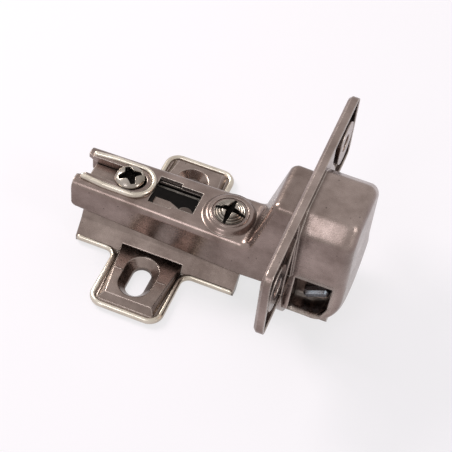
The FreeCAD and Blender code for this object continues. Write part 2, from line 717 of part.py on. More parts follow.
def cup_section(body, name, offset, inset):
    """The cup's section: an arc below and a flared, chamfered hood above."""
    sketch = new_sketch(body, name, "YZ_Plane", offset)
    corners = [
        ("cup_flare_half - %s" % inset, None),
        ("cup_side_half - %s" % inset, "cup_crease_z - 0.3 * %s" % inset),
        ("cup_side_half - %s" % inset, "cup_chamfer_z - 0.45 * %s" % inset),
        ("cup_flat_half - 0.4 * %s" % inset, "cup_flat_z - %s" % inset),
    ]
    corners += [("-(%s)" % u, v) for u, v in reversed(corners)]
    radius = "cup_radius - %s" % inset
    half = size(corners[0][0])
    low = size("cup_axis_z") - math.sqrt(size(radius) ** 2 - half ** 2)
    points = [FreeCAD.Vector(size(u), size(v) if v else low, 0) for u, v in corners]
    numbers = []
    for index in range(7):
        numbers.append(sketch.addGeometry(Part.LineSegment(points[index], points[index + 1]), False))
    centre = FreeCAD.Vector(0, size("cup_axis_z"), 0)
    start = math.atan2(low - centre.y, -half)
    end = math.atan2(low - centre.y, half)
    circle = Part.Circle(centre, FreeCAD.Vector(0, 0, 1), size(radius))
    arc = sketch.addGeometry(Part.ArcOfCircle(circle, start, end), False)
    for index in range(6):
        pair = (numbers[index], 2, numbers[index + 1], 1)
        sketch.addConstraint(Sketcher.Constraint("Coincident", *pair))
    sketch.addConstraint(Sketcher.Constraint("Coincident", numbers[6], 2, arc, 1))
    sketch.addConstraint(Sketcher.Constraint("Coincident", numbers[0], 1, arc, 2))
    for index, (u, v) in enumerate(corners[:-1]):
        pin_point(sketch, numbers[index], 1, u, v)
    pin_point(sketch, numbers[6], 2, corners[-1][0], None)
    pin_point(sketch, arc, 3, "0", "cup_axis_z")
    index = sketch.addConstraint(Sketcher.Constraint("Radius", arc, size(radius)))
    sketch.setExpression("Constraints[%d]" % index, bound(radius))
    return sketch


def cup_form(body, name, start, inset, length):
    """Pads the section and rounds its creases and its closed end."""
    extrude(body, name + "Pad", cup_section(body, name, start, inset), length)
    end = size(start) + size(length)
    rounded(body, name + "Creases", "cup_crease_radius - 0.5 * %s" % inset, lambda edge, a, b: (
        lies_along(a, b, "x")
    ))
    chamfered(body, name + "End", "(cup_bottom_edge - %s) * 0.6" % inset, lambda edge, a, b: (
        near(a.x, end) and near(b.x, end)
    )) if inset != "0" else rounded(body, name + "End", "cup_bottom_edge - %s" % inset, lambda edge, a, b: (
        near(a.x, end) and near(b.x, end)
    ))


def round_heel(body, name, end, inset):
    """Cuts the large round of the closed end on the lower half, about the cup's axis."""
    sketch = new_sketch(body, name + "Outline", "XZ_Plane")
    sketch.setExpression(".AttachmentOffset.Base.y", bound("cup_axis_z"))
    rim = "-(cup_radius - %s)" % inset
    turn = "(cup_round_edge - %s)" % inset
    outside = [
        (end, rim + " + " + turn),
        (end + " + 1", rim + " + " + turn),
        (end + " + 1", rim + " - 1"),
        (end + " - " + turn, rim + " - 1"),
        (end + " - " + turn, rim),
    ]
    if inset != "0":
        outside.append((end + " - 0.293 * " + turn, rim + " + 0.293 * " + turn))
        polygon(sketch, outside)
    else:
        points = [FreeCAD.Vector(size(u), size(v), 0) for u, v in outside]
        centre = FreeCAD.Vector(points[4].x, points[0].y, 0)
        circle = Part.Circle(centre, FreeCAD.Vector(0, 0, 1), size(turn))
        arc = sketch.addGeometry(Part.ArcOfCircle(circle, -math.pi / 2, 0), False)
        lines = []
        for index in range(4):
            lines.append(sketch.addGeometry(Part.LineSegment(points[index], points[index + 1]), False))
        sketch.addConstraint(Sketcher.Constraint("Coincident", arc, 2, lines[0], 1))
        for index in range(3):
            pair = (lines[index], 2, lines[index + 1], 1)
            sketch.addConstraint(Sketcher.Constraint("Coincident", *pair))
        sketch.addConstraint(Sketcher.Constraint("Coincident", lines[3], 2, arc, 1))
        pin_point(sketch, arc, 3, end + " - " + turn, rim + " + " + turn)
        for index in range(4):
            pin_point(sketch, lines[index], 1, *outside[index])
        pin_point(sketch, lines[3], 2, outside[4][0], None)
    document.recompute()
    before = volume(body)
    feature = body.newObject("PartDesign::Groove", name)
    feature.Profile = sketch
    feature.ReferenceAxis = (sketch, ["H_Axis"])
    feature.Angle = 180
    feature.Midplane = True
    sketch.Visibility = False
    document.recompute()
    if not volume(body) < before - 1.0:
        raise RuntimeError("%s cuts nothing" % name)


cup_form(cup, "CupShell", "web_front", "0", "cup_bottom - web_front")
round_heel(cup, "CupHeel", "cup_bottom", "0")
flange = new_sketch(cup, "Flange", "YZ_Plane", "web_front")
polygon(flange, [
    ("-flange_half", "flange_low"),
    ("flange_half", "flange_low"),
    ("flange_half", "flange_high"),
    ("-flange_half", "flange_high"),
])
extrude(cup, "FlangePad", flange, "door_plane - web_front")
rounded(cup, "FlangeCorners", "flange_corner", lambda edge, a, b: (
    lies_along(a, b, "x") and near(abs(a.y), size("flange_half"))
))
chamfered(cup, "FlangeRim", "cup_wall * 0.7", lambda edge, a, b: (
    near(a.x, size("web_front")) and near(b.x, size("web_front"))
    and max(abs(a.y), abs(b.y)) > size("cup_flare_half + 1") and min(a.z, b.z) > size("flange_low - 0.1")
    and (near(a.z, b.z) and (near(a.z, size("flange_high"))
    or near(a.z, size("flange_low"))) or abs(a.y) > size("flange_half - flange_corner - 0.1"))
))
core = new_body("CupCore", kept=False)
cup_form(core, "CupCavity", "web_front - 1", "cup_wall", "cup_bottom - cup_wall - web_front + 1")
round_heel(core, "CavityHeel", "(cup_bottom - cup_wall)", "cup_wall")
hollow = cup.newObject("PartDesign::Boolean", "CupHollow")
hollow.setObjects([core])
hollow.Type = "Cut"
document.recompute()
ears = new_sketch(cup, "EarHollows", "YZ_Plane", "web_front + cup_wall")
for sign in ("1", "-1"):
    polygon(ears, [
        (sign + " * ear_root_half", "flange_low + cup_wall"),
        (sign + " * (flange_half - cup_wall)", "flange_low + cup_wall"),
        (sign + " * (flange_half - cup_wall)", "flange_high - cup_wall"),
        (sign + " * ear_root_half", "flange_high - cup_wall"),
    ])
extrude(cup, "EarPockets", ears, "door_plane - web_front", cut=True, reverse=True)
studs = new_sketch(cup, "EarStuds", "YZ_Plane", "web_front + cup_wall")
for sign in ("1", "-1"):
    disc(studs, (sign + " * door_screw_pitch / 2", "door_screw_z"), "door_dish_radius + 0.7")
extrude(cup, "EarStudPad", studs, "door_plane - web_front - cup_wall")
for side, sign in (("Near", "-1"), ("Far", "1")):
    cone = cup.newObject("PartDesign::SubtractiveCone", side + "DoorScrewDish")
    cone.AttachmentSupport = (base_plane(cup, "YZ_Plane"), [""])
    cone.MapMode = "FlatFace"
    cone.setExpression(".AttachmentOffset.Base.x", bound(sign + " * door_screw_pitch / 2"))
    cone.setExpression(".AttachmentOffset.Base.y", bound("door_screw_z"))
    cone.setExpression(".AttachmentOffset.Base.z", bound("web_front - 0.01"))
    cone.setExpression("Radius1", bound("door_dish_radius"))
    cone.setExpression("Radius2", bound("door_screw_radius"))
    cone.setExpression("Height", bound("door_plane - web_front - door_screw_land + 0.01"))
    document.recompute()
lands = new_sketch(cup, "DoorScrewLands", "YZ_Plane", "web_front")
for sign in ("1", "-1"):
    disc(lands, (sign + " * door_screw_pitch / 2", "door_screw_z"), "door_screw_radius")
extrude(cup, "DoorScrewBores", lands, "door_plane - web_front + 0.1", cut=True, reverse=True)
# Below the flange the tube starts behind it, at a collar that seats on the door.
trim = new_sketch(cup, "TubeTrim", "YZ_Plane", "web_front - 1")
polygon(trim, [
    ("-flange_half", "cup_axis_z - cup_radius - 2"),
    ("flange_half", "cup_axis_z - cup_radius - 2"),
    ("flange_half", "flange_low"),
    ("-flange_half", "flange_low"),
])
extrude(cup, "TubeTrimCut", trim, "collar_front - web_front + 1", cut=True, reverse=True)
ring = new_sketch(cup, "MouthCollar", "YZ_Plane", "collar_front")
disc(ring, ("0", "cup_axis_z"), "collar_rim_radius")
disc(ring, ("0", "cup_axis_z"), "cup_radius - cup_wall / 2")
extrude(cup, "MouthCollarPad", ring, "door_plane - collar_front")
notch = new_sketch(cup, "MouthNotch", "YZ_Plane", "collar_front - 2")
polygon(notch, [
    ("-mouth_notch_half", "cup_axis_z - cup_radius - 3"),
    ("mouth_notch_half", "cup_axis_z - cup_radius - 3"),
    ("mouth_notch_half", "cup_axis_z - cup_radius / 2"),
    ("-mouth_notch_half", "cup_axis_z - cup_radius / 2"),
])
extrude(cup, "MouthNotchCut", notch, "door_plane - collar_front + 2", cut=True, reverse=True)
# Bearing lugs: the side walls pressed in, so that both pins sit close to the links.
lugs = new_sketch(cup, "LugBlocks", "YZ_Plane", "dent_front - cup_wall")
for sign in ("1", "-1"):
    polygon(lugs, [
        (sign + " * (dent_floor_half - cup_wall)", "dent_low - cup_wall"),
        (sign + " * (cup_side_half + 1.2)", "dent_low - cup_wall"),
        (sign + " * (cup_flare_half - 0.5)", "dent_low + 1"),
        (sign + " * (cup_side_half - 0.3)", "dent_high - 0.2"),
        (sign + " * (cup_side_half - 0.3)", "dent_high + cup_wall"),
        (sign + " * (dent_floor_half - cup_wall)", "dent_high + cup_wall"),
    ])
extrude(cup, "LugPad", lugs, "dent_back - dent_front + 2 * cup_wall - 0.6")
for side, sign in (("Near", "1"), ("Far", "-1")):
    dent = new_sketch(cup, side + "Dent", "XZ_Plane", sign + " * dent_floor_half")
    polygon(dent, [
        ("dent_front", "dent_low"),
        ("dent_back - 4.6", "dent_low"),
        ("dent_back - 1.5", "dent_low + 1.4"),
        ("dent_back", "dent_low + 4.2"),
        ("dent_back", "dent_high"),
        ("dent_front", "dent_high"),
    ])
    extrude(cup, side + "DentCut", dent, "cup_radius", cut=True, reverse=(sign == "1"))
bores = new_sketch(cup, "CupPivots", "XZ_Plane")
disc(bores, ("outer_cup_x", "outer_cup_z"), "pin_radius + seat_gap")
disc(bores, ("inner_cup_x", "inner_cup_z"), "pin_radius + seat_gap")
extrude(cup, "CupPivotBores", bores, "2 * dent_floor_half + 2", cut=True, both=True)

# Outer link: two side plates with a knee that clears the cup's lip, joined at the arm.
outer_link = new_body("outer_link")
link_half = "(arm_front_half - arm_sheet - side_gap / 2)"
leg = new_sketch(outer_link, "OuterLeg", "XZ_Plane")
capsule(leg, ("outer_cup_x", "outer_cup_z"), ("outer_knee_x", "outer_knee_z"), "outer_half")
extrude(outer_link, "OuterLegPad", leg, "2 * " + link_half, both=True)
reach = new_sketch(outer_link, "OuterReach", "XZ_Plane")
capsule(reach, ("outer_arm_x", "outer_arm_z"), ("outer_knee_x", "outer_knee_z"), "outer_half")
extrude(outer_link, "OuterReachPad", reach, "2 * " + link_half, both=True)
eyes = new_sketch(outer_link, "OuterEyes", "XZ_Plane")
disc(eyes, ("outer_cup_x", "outer_cup_z"), "pin_radius + link_sheet")
disc(eyes, ("outer_arm_x", "outer_arm_z"), "pin_radius + link_sheet")
extrude(outer_link, "OuterEyePads", eyes, "2 * " + link_half, both=True)
gap = new_sketch(outer_link, "OuterGap", "XZ_Plane")
polygon(gap, [
    ("outer_web_x", "outer_cup_z - 6"),
    ("outer_knee_x + 6", "outer_cup_z - 6"),
    ("outer_knee_x + 6", "outer_arm_z + 6"),
    ("outer_web_x", "outer_arm_z + 6"),
])
extrude(outer_link, "OuterGapCut", gap, "2 * (" + link_half + " - link_sheet)", cut=True, both=True)
holes = new_sketch(outer_link, "OuterBores", "XZ_Plane")
disc(holes, ("outer_cup_x", "outer_cup_z"), "pin_radius + run_gap")
disc(holes, ("outer_arm_x", "outer_arm_z"), "pin_radius + run_gap")
extrude(outer_link, "OuterBoreCuts", holes, "2 * " + link_half + " + 2", cut=True, both=True)

# Inner link: a solid bar; its eye on the cup is open, because that pivot is left free.
inner_link = new_body("inner_link")
bar = new_sketch(inner_link, "InnerBar", "XZ_Plane")
capsule(bar, ("inner_arm_x", "inner_arm_z"), ("inner_cup_x", "inner_cup_z"), "inner_half")
extrude(inner_link, "InnerBarPad", bar, "2 * inner_half_width", both=True)
eyes = new_sketch(inner_link, "InnerEyes", "XZ_Plane")
disc(eyes, ("inner_arm_x", "inner_arm_z"), "inner_eye")
disc(eyes, ("inner_cup_x", "inner_cup_z"), "inner_foot_eye")
extrude(inner_link, "InnerEyePads", eyes, "2 * inner_half_width", both=True)
slots = new_sketch(inner_link, "InnerSlot", "XZ_Plane")
capsule(
    slots,
    ("inner_cup_x", "inner_cup_z"),
    ("inner_cup_x + inner_slot_x", "inner_cup_z + inner_slot_z"),
    "pin_radius + inner_slot_play",
)
extrude(inner_link, "InnerSlotCut", slots, "2 * inner_half_width + 2", cut=True, both=True)
hole = new_sketch(inner_link, "InnerBore", "XZ_Plane")
disc(hole, ("inner_arm_x", "inner_arm_z"), "pin_radius + run_gap")
extrude(inner_link, "InnerBoreCut", hole, "2 * inner_half_width + 2", cut=True, both=True)

# Pins: two plain ones across the arm, a double one and a stub in the cup's lugs.
for label, where in (("arm_pin_outer", "outer_arm"), ("arm_pin_inner", "inner_arm")):
    pin = new_body(label)
    section = new_sketch(pin, label + "Section", "XZ_Plane")
    disc(section, ("0", "0"), "pin_radius")
    extrude(pin, label + "Pad", section, "2 * arm_front_half", both=True)
    pin.setExpression(".Placement.Base.x", bound(where + "_x"))
    pin.setExpression(".Placement.Base.z", bound(where + "_z"))
cup_pin = new_body("cup_pin")
long_leg = new_sketch(cup_pin, "LongLeg", "XZ_Plane")
disc(long_leg, ("inner_cup_x", "inner_cup_z"), "pin_radius")
extrude(cup_pin, "LongLegPad", long_leg, "2 * dent_floor_half + 0.2", both=True)
bridge = new_sketch(cup_pin, "PinBridge", "XZ_Plane", "dent_floor_half + seat_gap")
capsule(bridge, ("outer_cup_x", "outer_cup_z"), ("inner_cup_x", "inner_cup_z"), "pin_radius")
extrude(cup_pin, "PinBridgePad", bridge, "pin_bridge")
chamfered(cup_pin, "PinBridgeEdge", "pin_radius * 0.5", lambda edge, a, b: (
    near(a.y, -size("dent_floor_half + seat_gap + pin_bridge"))
    and near(b.y, -size("dent_floor_half + seat_gap + pin_bridge"))
))
short_leg = new_sketch(cup_pin, "ShortLeg", "XZ_Plane", link_half + " - link_sheet - 0.3")
disc(short_leg, ("outer_cup_x", "outer_cup_z"), "pin_radius")
extrude(cup_pin, "ShortLegPad", short_leg, "dent_floor_half + 0.3 - (" + link_half + " - link_sheet - 0.3)")
stub = new_body("cup_stub")
stub_leg = new_sketch(stub, "StubLeg", "XZ_Plane", "-(dent_floor_half + 0.3)")
disc(stub_leg, ("outer_cup_x", "outer_cup_z"), "pin_radius")
extrude(stub, "StubLegPad", stub_leg, "dent_floor_half + 0.6 - (" + link_half + " - link_sheet)")
stub_head = new_sketch(stub, "StubHead", "XZ_Plane", "-(dent_floor_half + 0.6)")
disc(stub_head, ("outer_cup_x", "outer_cup_z"), "pin_radius + 0.4")
extrude(stub, "StubHeadPad", stub_head, "0.6 - seat_gap")

# Closing spring: a leaf under the hood whose bent end points at the inner link's eye.
spring = new_body("closing_spring")
leaf = new_sketch(spring, "Leaf", "XZ_Plane")
slope = "((hood_top - hood_front_top) / (hood_front_x - riser_head_x))"
ceiling = "(hood_top - arm_sheet - seat_gap - 0.05 - %s * (%s - riser_head_x))"
polygon(leaf, [
    ("spring_rear", ceiling % (slope, "spring_rear")),
    ("spring_bend", ceiling % (slope, "spring_bend")),
    ("spring_tip_x", "spring_tip_z + 1.6"),
    ("spring_tip_x", "spring_tip_z"),
    ("spring_tip_x - spring_sheet", "spring_tip_z"),
    ("spring_tip_x - spring_sheet", "spring_tip_z + 1.3"),
    ("spring_bend - 0.35", (ceiling % (slope, "spring_bend")) + " - spring_sheet"),
    ("spring_rear", (ceiling % (slope, "spring_rear")) + " - spring_sheet"),
])
extrude(spring, "LeafPad", leaf, "2 * spring_half", both=True)

document.recompute()
for item in document.Objects:
    if "Invalid" in item.State or "Error" in item.State:
        raise RuntimeError("%s is in a failed state" % item.Label)
for body in PIECES:
    if body.Shape.isNull() or not body.Shape.isValid() or len(body.Shape.Solids) != 1:
        raise RuntimeError("%s has %d solids" % (body.Label, len(body.Shape.Solids)))
    print(body.Label, round(body.Shape.Volume, 1))
os.makedirs("parts", exist_ok=True)
for body in PIECES:
    body.Shape.exportStep("parts/%s.step" % body.Label)
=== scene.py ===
"""Concealed cup hinge: finishes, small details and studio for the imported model."""

from __future__ import annotations

import json
import logging
import math
from dataclasses import dataclass, field
from enum import Enum

import bmesh
import bpy
import numpy as np
from mathutils import Matrix, Vector

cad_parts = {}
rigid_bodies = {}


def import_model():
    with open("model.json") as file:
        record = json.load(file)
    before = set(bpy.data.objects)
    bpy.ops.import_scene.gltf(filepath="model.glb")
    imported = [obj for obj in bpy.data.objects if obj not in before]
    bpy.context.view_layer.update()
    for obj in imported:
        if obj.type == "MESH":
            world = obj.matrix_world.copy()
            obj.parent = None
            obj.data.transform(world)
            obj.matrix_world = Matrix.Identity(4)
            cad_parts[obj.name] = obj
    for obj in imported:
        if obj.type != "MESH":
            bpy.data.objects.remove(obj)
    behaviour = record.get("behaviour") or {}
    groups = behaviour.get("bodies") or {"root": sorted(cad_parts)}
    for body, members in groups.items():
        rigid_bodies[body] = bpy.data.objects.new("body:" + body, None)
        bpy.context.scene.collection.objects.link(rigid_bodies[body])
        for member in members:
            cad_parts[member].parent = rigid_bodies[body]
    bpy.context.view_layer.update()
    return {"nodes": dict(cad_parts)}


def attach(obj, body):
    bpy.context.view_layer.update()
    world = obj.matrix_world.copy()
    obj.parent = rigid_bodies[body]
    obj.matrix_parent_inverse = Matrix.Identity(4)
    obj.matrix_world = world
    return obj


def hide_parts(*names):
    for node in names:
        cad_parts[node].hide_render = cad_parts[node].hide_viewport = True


LOG = logging.getLogger("cup_hinge")
MM = 0.001
# Attribute that holds each screw point's painted shade, taken from its depth.
DEPTH_SHADE_ATTRIBUTE = "sunk"
SAME_POINT = 1e-8
SAME_RADIUS_MM = 1e-6
FULL_TURN = 2 * math.pi


class Socket(Enum):
    """Names of the shader inputs that the finishes set."""

    COLOUR = "Base Color"
    METALLIC = "Metallic"
    ROUGHNESS = "Roughness"
    NORMAL = "Normal"


def linear(hex_colour: str) -> tuple[float, float, float, float]:
    """Turns an sRGB hex value into a linear colour.

    Args:
        hex_colour: six hexadecimal digits with a leading hash.

    Returns:
        Red, green, blue and an alpha of 1.
    """
    digits = hex_colour.lstrip("#")
    values = [int(digits[i:i + 2], 16) / 255 for i in (0, 2, 4)]
    made = [v / 12.92 if v <= 0.04045 else ((v + 0.055) / 1.055) ** 2.4 for v in values]
    return (made[0], made[1], made[2], 1.0)


def add_node(tree: bpy.types.NodeTree, kind: str, settings: dict, links: dict) -> bpy.types.Node:
    """Adds one node with its settings and its links.

    Args:
        tree: the node tree to add to.
        kind: the node's type name.
        settings: attributes by name, and input values by "in:NAME" or "in:NUMBER".
        links: output sockets by input name or number.

    Returns:
        The new node.
    """
    node = tree.nodes.new(kind)
    for name, value in settings.items():
        if name.startswith("in:"):
            key = name[3:]
            node.inputs[int(key) if key.isdigit() else key].default_value = value
        else:
            setattr(node, name, value)
    for name, source in links.items():
        tree.links.new(source, node.inputs[name])
    return node


def noise(tree: bpy.types.NodeTree, where: bpy.types.NodeSocket, scale: float, detail: float,
          roughness: float = 0.5) -> bpy.types.NodeSocket:
    """Adds a noise texture.

    Args:
        tree: the node tree to add to.
        where: the coordinates it reads.
        scale: cells per metre of those coordinates.
        detail: how many octaves it has.
        roughness: how strong the finer octaves are.

    Returns:
        Its value.
    """
    settings = {"in:Scale": scale, "in:Detail": detail, "in:Roughness": roughness}
    return add_node(tree, "ShaderNodeTexNoise", settings, {"Vector": where}).outputs["Fac"]


def remap(tree: bpy.types.NodeTree, value: bpy.types.NodeSocket, given: tuple[float, float],
          made: tuple[float, float], ease: str = "LINEAR") -> bpy.types.NodeSocket:
    """Carries one span of a value to another, held at both ends.

    Args:
        tree: the node tree to add to.
        value: the value to carry over.
        given: the span it is read in.
        made: what the ends of that span become.
        ease: how the steps between are eased.

    Returns:
        The new value.
    """
    settings = {"interpolation_type": ease, "in:1": given[0], "in:2": given[1], "in:3": made[0],
                "in:4": made[1]}
    return add_node(tree, "ShaderNodeMapRange", settings, {"Value": value}).outputs["Result"]


def combine(tree: bpy.types.NodeTree, operation: str, first: bpy.types.NodeSocket,
            second: bpy.types.NodeSocket | float) -> bpy.types.NodeSocket:
    """Works out one value from two.

    Args:
        tree: the node tree to add to.
        operation: the maths node's operation.
        first: the first value.
        second: the second value, a socket or a plain number.

    Returns:
        The result.
    """
    settings = {"operation": operation}
    links = {0: first}
    if isinstance(second, float):
        settings["in:1"] = second
    else:
        links[1] = second
    return add_node(tree, "ShaderNodeMath", settings, links).outputs[0]


def cover(tree: bpy.types.NodeTree, share: bpy.types.NodeSocket, under: bpy.types.NodeSocket,
          over: str) -> bpy.types.NodeSocket:
    """Lays a plain colour over another colour.

    Args:
        tree: the node tree to add to.
        share: how much of the new colour shows.
        under: the colour below.
        over: the new colour as a hex value.

    Returns:
        The mixed colour.
    """
    return add_node(tree, "ShaderNodeMix", {"data_type": "RGBA", "in:7": linear(over)},
                    {0: share, 6: under}).outputs[2]


def axes(tree: bpy.types.NodeTree, vector: bpy.types.NodeSocket) -> bpy.types.bpy_prop_collection:
    """Splits a vector into its three numbers, x first."""
    return add_node(tree, "ShaderNodeSeparateXYZ", {}, {0: vector}).outputs


@dataclass(frozen=True)
class PlatedSteel:
    """Satin nickel on stamped steel: a warm grey mirror that fine pits and drawing marks dull.

    A span without a unit is in the texture's own values, and a share runs from 0 to 1.
    """

    name: str
    body: str
    tint: str
    # Colour of the painted shade, which the pits share.
    shade_and_pit_colour: str
    roughness: float = 0.3
    rough_spread: float = 0.12
    grain_mm: float = 0.35
    grain_height_mm: float = 0.004
    edge_mm: float = 0.22
    wear_highlight: str = "#E2D8CE"
    wear_highlight_share: float = 0.4
    pit_gate: float = 0.72
    corner_shade_share: float = 0.85
    has_depth_shade: bool = False
    shade_reach_mm: float = 3.0
    inner_half_mm: float = 0.0
    inner_high_mm: float = 0.0
    drawn_from_mm: float = 0.0
    drawn_edge_mm: float = 0.0
    patch_mm: float = 9.0
    patch_span: tuple[float, float] = (0.34, 0.66)
    cloud_mm: float = 1.6
    cloud_span: tuple[float, float] = (0.3, 0.7)
    mark_long_mm: float = 7.0
    mark_apart_mm: float = 0.12
    mark_shine: float = 0.03
    cell_mm: float = 1.9
    pit_span: tuple[float, float] = (0.05, 0.11)
    pit_share: float = 0.8
    corner_span: tuple[float, float] = (0.15, 0.7)
    inner_shade_share: float = 0.95
    inner_fade_mm: float = 0.15
    inner_fade_high_mm: float = 0.3
    drawn_fade_mm: float = 1.0
    wear_highlight_span: tuple[float, float] = (0.995, 0.86)
    wear_highlight_break_span: tuple[float, float] = (0.35, 0.6)
    wear_highlight_least: float = 0.55
    shade_and_pit_dull: float = 0.3
    samples: int = 8

    def pits(self, tree: bpy.types.NodeTree, place: bpy.types.NodeSocket) -> bpy.types.NodeSocket:
        """Makes small dark pits: one cell in four or so has one, some 0.3 mm across.

        Args:
            tree: the node tree to add to.
            place: the Object coordinates.

        Returns:
            How much of a pit a point has.
        """
        cells = add_node(tree, "ShaderNodeTexVoronoi", {"in:Scale": 1 / (self.cell_mm * MM)},
                         {"Vector": place})
        pitted = combine(tree, "GREATER_THAN", axes(tree, cells.outputs["Color"])[0], self.pit_gate)
        near = remap(tree, cells.outputs["Distance"], self.pit_span, (self.pit_share, 0.0))
        return combine(tree, "MULTIPLY", near, pitted)

    def shade_and_pits(self, tree: bpy.types.NodeTree, place: bpy.types.NodeSocket,
             pit: bpy.types.NodeSocket) -> bpy.types.NodeSocket:
        """Finds where painted shade lies, with the pits added.

        Args:
            tree: the node tree to add to.
            place: the Object coordinates.
            pit: how much of a pit a point has.

        Returns:
            How dark each point is.
        """
        # Painted shade in corners and folds, which the occlusion over a few millimetres finds.
        corner = add_node(tree, "ShaderNodeAmbientOcclusion", {"samples": self.samples,
                          "in:Distance": self.shade_reach_mm * MM}, {}).outputs["AO"]
        dark = combine(tree, "MAXIMUM", remap(tree, corner, self.corner_span, (self.corner_shade_share, 0.0)), pit)
        if self.inner_half_mm:
            # Painted shade: the rail's inside is made nearly black below its roof and between its walls.
            parts = axes(tree, place)
            across = add_node(tree, "ShaderNodeMath", {"operation": "ABSOLUTE"}, {0: parts[1]}).outputs[0]
            wall = (self.inner_half_mm * MM, (self.inner_half_mm + self.inner_fade_mm) * MM)
            roof = ((self.inner_high_mm - self.inner_fade_high_mm) * MM, self.inner_high_mm * MM)
            inner = combine(tree, "MULTIPLY", remap(tree, across, wall, (self.inner_shade_share, 0.0)),
                            remap(tree, parts[2], roof, (1.0, 0.0)))
            dark = combine(tree, "MAXIMUM", dark, inner)
        if self.has_depth_shade:
            # Painted shade in the drive, the thread's roots and the crown's grooves: the piece's own
            # attribute says how much.
            depth = add_node(tree, "ShaderNodeAttribute", {"attribute_name": DEPTH_SHADE_ATTRIBUTE}, {}).outputs["Fac"]
            dark = combine(tree, "MAXIMUM", dark, depth)
        return dark

    def eased(self, tree: bpy.types.NodeTree, place: bpy.types.NodeSocket) -> bpy.types.NodeSocket:
        """Gives the normal with eased edges.

        Args:
            tree: the node tree to add to.
            place: the Object coordinates.

        Returns:
            The eased normal.
        """
        round_by = {}
        if self.drawn_edge_mm:
            # The deep-drawn cup beyond the flange has broad soft corners, and the flange has small ones.
            reach = (self.drawn_from_mm * MM, (self.drawn_from_mm + self.drawn_fade_mm) * MM)
            round_by["Radius"] = remap(tree, axes(tree, place)[0], reach,
                                       (self.edge_mm * MM, self.drawn_edge_mm * MM))
        return add_node(tree, "ShaderNodeBevel", {"samples": self.samples, "in:Radius": self.edge_mm * MM},
                        round_by).outputs[0]

    def build(self) -> bpy.types.Material:
        """Builds the node material.

        Returns:
            The material, whose patterns read Object coordinates.
        """
        material = bpy.data.materials.new(self.name)
        material.use_nodes = True
        tree = material.node_tree
        shader = tree.nodes["Principled BSDF"]
        place = add_node(tree, "ShaderNodeTexCoord", {}, {}).outputs["Object"]
        # Broad patches are where the plating's thickness varies, and small clouds are its tumbled skin.
        patches = noise(tree, place, 1 / (self.patch_mm * MM), detail=5.0, roughness=0.62)
        clouds = noise(tree, place, 1 / (self.cloud_mm * MM), detail=6.0, roughness=0.7)
        # Fine grit is the matt grain of the sheet, and the rolling marks run along the strip.
        grit = noise(tree, place, 1 / (self.grain_mm * MM), detail=2.0)
        narrow = 1 / (self.mark_apart_mm * MM)
        marks = (1 / (self.mark_long_mm * MM), narrow, narrow)
        strip = add_node(tree, "ShaderNodeMapping", {"in:Scale": marks}, {"Vector": place}).outputs[0]
        rolled = noise(tree, strip, 1.0, detail=1.0)
        pit = self.pits(tree, place)
        dark = self.shade_and_pits(tree, place, pit)
        base = add_node(tree, "ShaderNodeMix", {"data_type": "RGBA", "in:6": linear(self.body),
                        "in:7": linear(self.tint)}, {0: remap(tree, patches, self.patch_span, (0.0, 1.0))})
        # Painted shade and the pits darken the base colour.
        shaded_and_pitted = cover(tree, dark, base.outputs[2], self.shade_and_pit_colour)
        # Rubbed edges and painted edge highlight: where the eased normal leaves the flat one, a pale colour
        # is laid on.
        eased_normal = self.eased(tree, place)
        flat = add_node(tree, "ShaderNodeNewGeometry", {}, {}).outputs["Normal"]
        match = add_node(tree, "ShaderNodeVectorMath", {"operation": "DOT_PRODUCT"},
                         {0: eased_normal, 1: flat}).outputs["Value"]
        rub_and_highlight = remap(tree, match, self.wear_highlight_span, (0.0, self.wear_highlight_share))
        broken = remap(tree, clouds, self.wear_highlight_break_span, (self.wear_highlight_least, 1.0))
        finished = cover(tree, combine(tree, "MULTIPLY", rub_and_highlight, broken), shaded_and_pitted, self.wear_highlight)
        half = self.rough_spread / 2
        dull = remap(tree, clouds, self.cloud_span, (self.roughness - half, self.roughness + half))
        streaks = remap(tree, rolled, self.cloud_span, (-self.mark_shine, self.mark_shine))
        shine = combine(tree, "ADD", dull, streaks)
        rough = combine(tree, "ADD", shine, remap(tree, dark, (0.0, 1.0), (0.0, self.shade_and_pit_dull)))
        hollow = combine(tree, "SUBTRACT", grit, pit)
        bump = add_node(tree, "ShaderNodeBump", {"in:Strength": 1.0,
                        "in:Distance": self.grain_height_mm * MM}, {"Height": hollow, "Normal": eased_normal})
        shader.inputs[Socket.METALLIC.value].default_value = 1.0
        tree.links.new(finished, shader.inputs[Socket.COLOUR.value])
        tree.links.new(rough, shader.inputs[Socket.ROUGHNESS.value])
        tree.links.new(bump.outputs["Normal"], shader.inputs[Socket.NORMAL.value])
        return material

    def ready(self) -> bpy.types.Material:
        """Gives the finish's one material, built at its first use.

        Returns:
            The material.
        """
        return bpy.data.materials.get(self.name) or self.build()


# Each finish lists body, tint and the painted shade colour that its pits share.
NICKEL_ARM = PlatedSteel("satin_nickel_arm", "#8F7F79", "#6E5F59", "#191412", roughness=0.26,
                         rough_spread=0.14, edge_mm=0.35, wear_highlight_share=0.6)
NICKEL_CUP = PlatedSteel("satin_nickel_cup", "#998983", "#796A64", "#1C1715", roughness=0.27,
                         rough_spread=0.16, grain_mm=0.4, grain_height_mm=0.006, edge_mm=0.5,
                         drawn_from_mm=36.6, drawn_edge_mm=2.4)
